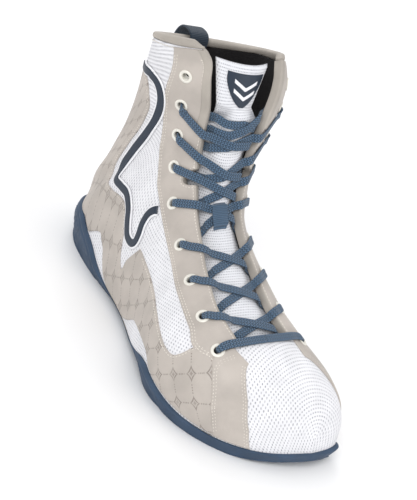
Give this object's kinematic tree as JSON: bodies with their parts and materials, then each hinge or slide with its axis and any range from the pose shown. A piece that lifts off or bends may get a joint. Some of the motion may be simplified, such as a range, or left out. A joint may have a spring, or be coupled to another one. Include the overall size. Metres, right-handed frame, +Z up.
{
  "type": "boxing boot",
  "caption": "High-top lace-up boxing boot for the right foot, with a low rubber sole, mesh upper, overlays, flat laces and a tongue whose flap folds.",
  "frame": {"origin": "on the flat face of the sole, under the middle of the boot", "axes": "+Z up, toe towards -Y, heel towards +Y, outer (lateral) side towards -X"},
  "size_m": [0.118, 0.2945, 0.2053],
  "materials": {
    "rubber": "matte moulded blue rubber",
    "board": "stiff fibre board",
    "foam": "black sockliner fabric on foam",
    "mesh": "white perforated knit mesh",
    "lining": "black brushed lining",
    "synthetic": "smooth taupe synthetic leather, satin",
    "printed": "taupe synthetic leather with a tonal lattice print",
    "film": "dark blue welded film",
    "binding": "taupe synthetic leather over foam",
    "webbing": "dark navy webbing",
    "keeper": "blue ribbed webbing",
    "eyelet": "cream eyelets",
    "lace": "flat blue woven lace",
    "aglet": "shrunk sleeve"
  },
  "bodies": {
    "boot": {"outsole": "rubber", "insole_board": "board", "footbed": "foam", "vamp": "mesh", "quarter_lateral": "mesh", "quarter_medial": "mesh", "vamp_lining": "lining", "quarter_lining_lateral": "lining", "quarter_lining_medial": "lining", "eyestay_lateral": "synthetic", "eyestay_medial": "synthetic", "wing_lateral": "synthetic", "wing_medial": "synthetic", "side_overlay_lateral": "printed", "side_overlay_medial": "printed", "heel_overlay_lateral": "printed", "heel_overlay_medial": "printed", "backstay": "synthetic", "stripe_lateral": "film", "stripe_medial": "film", "collar_binding": "binding", "pull_tab": "webbing", "tongue_lower": "mesh", "tongue_lining_lower": "lining", "lace_keeper": "keeper", "eyelets_lateral": "eyelet", "eyelets_medial": "eyelet", "laces": "lace", "aglets": "aglet"},
    "tongue_flap": {"tongue_top": "mesh", "tongue_lining_top": "lining", "tongue_emblem": "film"}
  },
  "joints": [
    {"name": "tongue_flap_fold", "type": "hinge", "parent": "boot", "child": "tongue_flap", "pos_m": [0.003, 0.032, 0.165], "axis": [1, 0, 0], "range_deg": [-20, 40], "stiffness_Nm_per_rad": 0.05}
  ]
}
